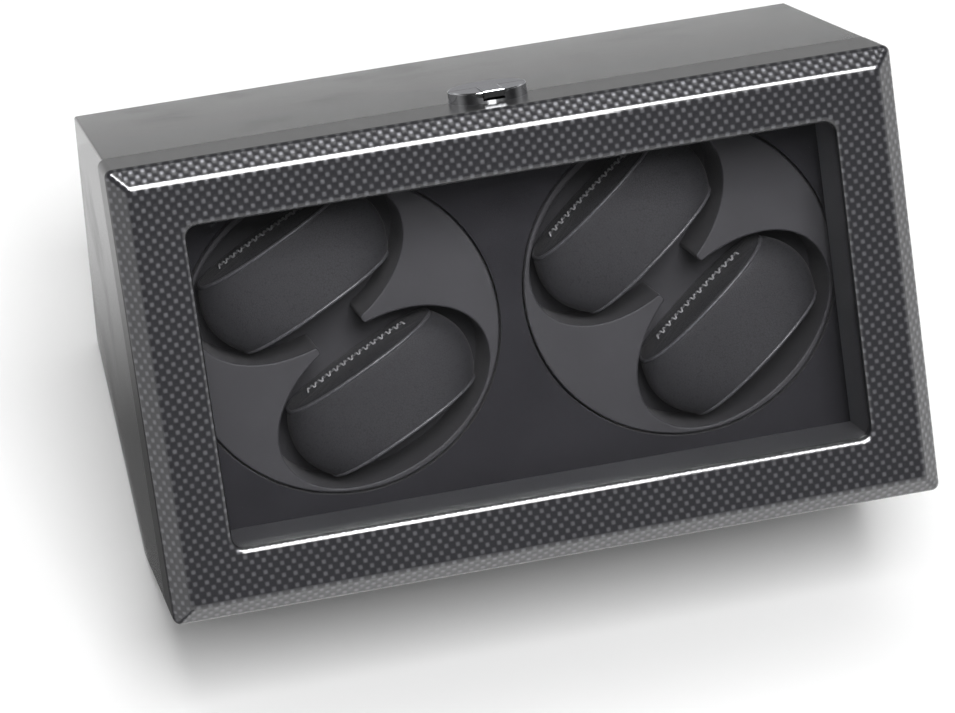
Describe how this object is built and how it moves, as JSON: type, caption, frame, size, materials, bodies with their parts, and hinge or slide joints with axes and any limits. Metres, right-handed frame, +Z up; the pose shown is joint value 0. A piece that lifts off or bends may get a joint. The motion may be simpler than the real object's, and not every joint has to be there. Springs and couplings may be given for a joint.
{
  "type": "watch winder box",
  "caption": "Leaning lacquered watch winder box with a bottom-hinged glazed door and motor-driven turntables that hold oval watch cushions.",
  "frame": {"origin": "middle of the flat felt face that the box stands on", "axes": "+X along the width, to the right seen from the front; +Y to the back; +Z up"},
  "size_m": [0.34, 0.2702, 0.257],
  "materials": {
    "black_lacquer": "black high-gloss lacquer on board",
    "carbon_lacquer": "carbon-look weave under gloss lacquer",
    "bare_board": "bare board",
    "glass": "clear polished glass",
    "liner_plastic": "satin black",
    "suede": "black suede on board",
    "flocked_grey": "dark grey flocked moulding",
    "leatherette": "dark grey leatherette with stitched ends",
    "chrome": "polished chrome plate",
    "hinge_metal": "nickel-plated steel",
    "steel": "zinc-plated steel",
    "motor_metal": "plated motor casing",
    "brass": "turned brass",
    "gear_plastic": "natural nylon",
    "board": "green circuit board",
    "cover_plastic": "fine-textured black",
    "switch_plastic": "moulded black",
    "knob_plastic": "satin black",
    "black_screw": "black oxide",
    "felt": "black felt"
  },
  "bodies": {
    "case": {"left_side_panel": "black_lacquer", "right_side_panel": "black_lacquer", "top_panel": "black_lacquer", "base_panel": "black_lacquer", "underside_panel": "black_lacquer", "back_panel": "black_lacquer", "base_pad": "felt", "base_weight": "steel", "display_deck": "suede", "deck_cleats": "bare_board", "body_hinge_leaves": "hinge_metal", "body_hinge_screws": "hinge_metal", "hinge_pins": "hinge_metal", "clasp_keeper": "chrome", "motor_plate": "steel", "motor_plate_screws": "steel", "motor_plate_cleats": "bare_board", "motor_screws": "steel", "bearing_bush_left": "brass", "bearing_bush_right": "brass", "gear_motor_left": "motor_metal", "gear_motor_right": "motor_metal", "circuit_board": "board", "board_standoffs": "gear_plastic", "rear_cover": "cover_plastic", "rear_cover_screws": "black_screw", "dc_inlet": "switch_plastic", "switch_bezel": "switch_plastic", "mode_selectors": "switch_plastic"},
    "door": {"door_frame": "carbon_lacquer", "window_glass": "glass", "window_liner": "liner_plastic", "liner_screws": "black_screw", "door_hinge_leaves": "hinge_metal", "door_hinge_screws": "hinge_metal", "clasp_cap": "chrome"},
    "clasp_tab": {"clasp_tab": "chrome"},
    "power_rocker": {"power_rocker": "switch_plastic"},
    "turntable_left": {"turntable_cup_left": "flocked_grey", "pocket_floor_left": "flocked_grey", "turntable_hub_left": "gear_plastic", "hub_screws_left": "steel", "turntable_shaft_left": "steel", "shaft_clip_left": "steel", "drive_gear_left": "gear_plastic"},
    "motor_pinion_left": {"motor_pinion_left": "brass"},
    "cushion_left_upper": {"cushion_left_upper": "leatherette"},
    "cushion_left_lower": {"cushion_left_lower": "leatherette"},
    "mode_knob_left": {"mode_knob_left": "knob_plastic"},
    "turntable_right": {"turntable_cup_right": "flocked_grey", "pocket_floor_right": "flocked_grey", "turntable_hub_right": "gear_plastic", "hub_screws_right": "steel", "turntable_shaft_right": "steel", "shaft_clip_right": "steel", "drive_gear_right": "gear_plastic"},
    "motor_pinion_right": {"motor_pinion_right": "brass"},
    "cushion_right_upper": {"cushion_right_upper": "leatherette"},
    "cushion_right_lower": {"cushion_right_lower": "leatherette"},
    "mode_knob_right": {"mode_knob_right": "knob_plastic"}
  },
  "joints": [
    {"name": "door_hinge", "type": "hinge", "parent": "case", "child": "door", "pos_m": [0, -0.16329, 0.07695], "axis": [1, 0, 0], "range_deg": [0, 95]},
    {"name": "clasp_tab_press", "type": "slide", "parent": "door", "child": "clasp_tab", "axis": [0, -0.6018, -0.7986], "range_m": [0, 0.001], "stiffness_N_per_m": 800},
    {"name": "power_rocker_tilt", "type": "hinge", "parent": "case", "child": "power_rocker", "pos_m": [0.024, 0.07012, 0.072], "axis": [1, 0, 0], "range_deg": [0, 18]},
    {"name": "turntable_left_turn", "type": "hinge", "parent": "case", "child": "turntable_left", "pos_m": [-0.0762, -0.08896, 0.15441], "axis": [0, -0.7986, 0.6018], "continuous": true},
    {"name": "motor_pinion_left_turn", "type": "hinge", "parent": "case", "child": "motor_pinion_left", "pos_m": [-0.0762, -0.11604, 0.11847], "axis": [0, -0.7986, 0.6018], "continuous": true},
    {"name": "cushion_left_upper_lift", "type": "slide", "parent": "turntable_left", "child": "cushion_left_upper", "axis": [0, -0.7986, 0.6018], "range_m": [0, 0.03]},
    {"name": "cushion_left_lower_lift", "type": "slide", "parent": "turntable_left", "child": "cushion_left_lower", "axis": [0, -0.7986, 0.6018], "range_m": [0, 0.03]},
    {"name": "mode_knob_left_turn", "type": "hinge", "parent": "case", "child": "mode_knob_left", "pos_m": [-0.068, 0.06832, 0.072], "axis": [0, 1, 0], "range_deg": [0, 120]},
    {"name": "turntable_right_turn", "type": "hinge", "parent": "case", "child": "turntable_right", "pos_m": [0.0762, -0.08896, 0.15441], "axis": [0, -0.7986, 0.6018], "continuous": true},
    {"name": "motor_pinion_right_turn", "type": "hinge", "parent": "case", "child": "motor_pinion_right", "pos_m": [0.0762, -0.11604, 0.11847], "axis": [0, -0.7986, 0.6018], "continuous": true},
    {"name": "cushion_right_upper_lift", "type": "slide", "parent": "turntable_right", "child": "cushion_right_upper", "axis": [0, -0.7986, 0.6018], "range_m": [0, 0.03]},
    {"name": "cushion_right_lower_lift", "type": "slide", "parent": "turntable_right", "child": "cushion_right_lower", "axis": [0, -0.7986, 0.6018], "range_m": [0, 0.03]},
    {"name": "mode_knob_right_turn", "type": "hinge", "parent": "case", "child": "mode_knob_right", "pos_m": [0.068, 0.06832, 0.072], "axis": [0, 1, 0], "range_deg": [0, 120]}
  ],
  "couplings": [
    {"joint": "motor_pinion_left_turn", "follows": "turntable_left_turn", "ratio": -4},
    {"joint": "motor_pinion_right_turn", "follows": "turntable_right_turn", "ratio": -4}
  ]
}
